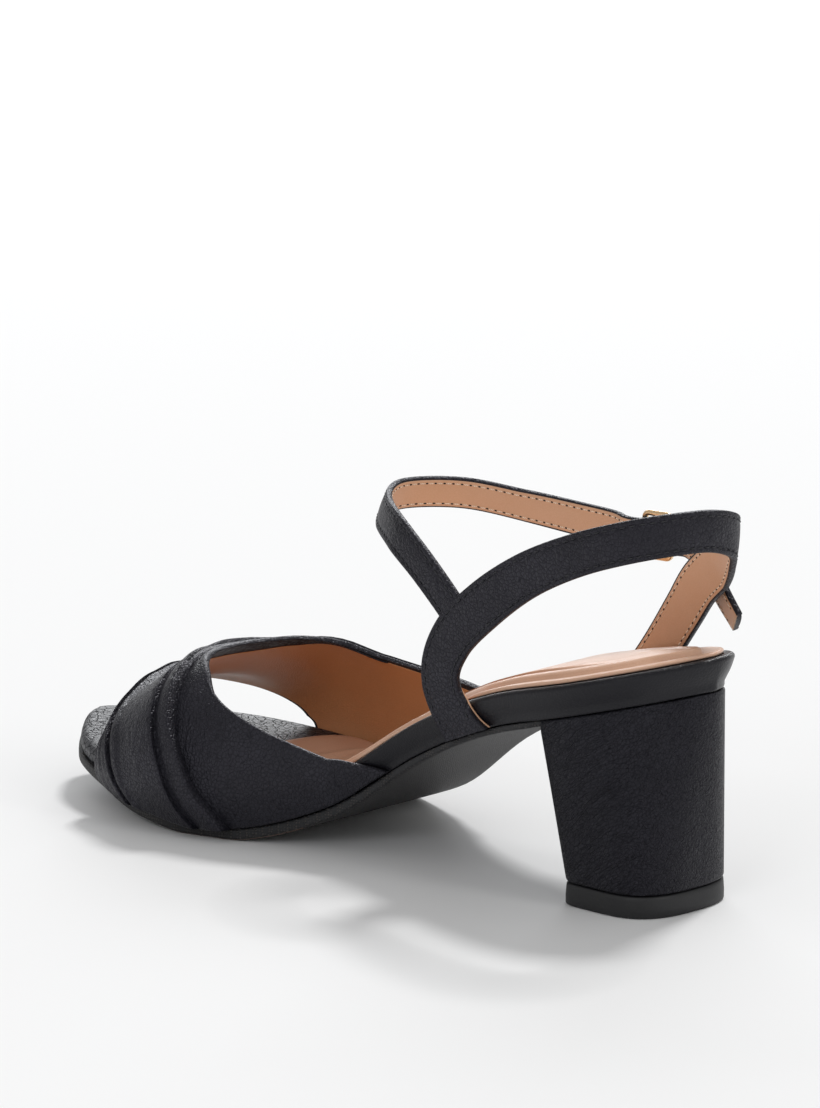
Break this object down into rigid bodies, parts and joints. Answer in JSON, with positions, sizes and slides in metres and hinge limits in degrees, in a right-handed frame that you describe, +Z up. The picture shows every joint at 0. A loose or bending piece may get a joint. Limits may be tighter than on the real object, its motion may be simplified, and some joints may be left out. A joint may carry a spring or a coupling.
{
  "type": "block heel sandal",
  "caption": "Open-toe sandal with crossed pleated forefoot bands, a curved sling and buckled instep strap, on a wrapped block heel.",
  "frame": {"origin": "centre of the top lift's face on the floor, under the heel", "axes": "+X from the heel towards the toe, +Y towards the inner side of the foot, +Z up from the floor"},
  "size_m": [0.2283, 0.09, 0.1113],
  "materials": {
    "outsole_rubber": "matte",
    "footbed_wrap": "satin",
    "sock_lining": "satin",
    "heel_wrap": "satin",
    "lift_rubber": "matte",
    "upper_leather": "satin",
    "buckle_gold": "polished"
  },
  "bodies": {
    "root": {"outsole": "outsole_rubber", "footbed": "footbed_wrap", "sock": "sock_lining", "heel_block": "heel_wrap", "top_lift": "lift_rubber", "vamp": "upper_leather", "ankle_straps": "upper_leather", "buckle_frame": "buckle_gold", "buckle_prong": "buckle_gold"}
  },
  "joints": []
}
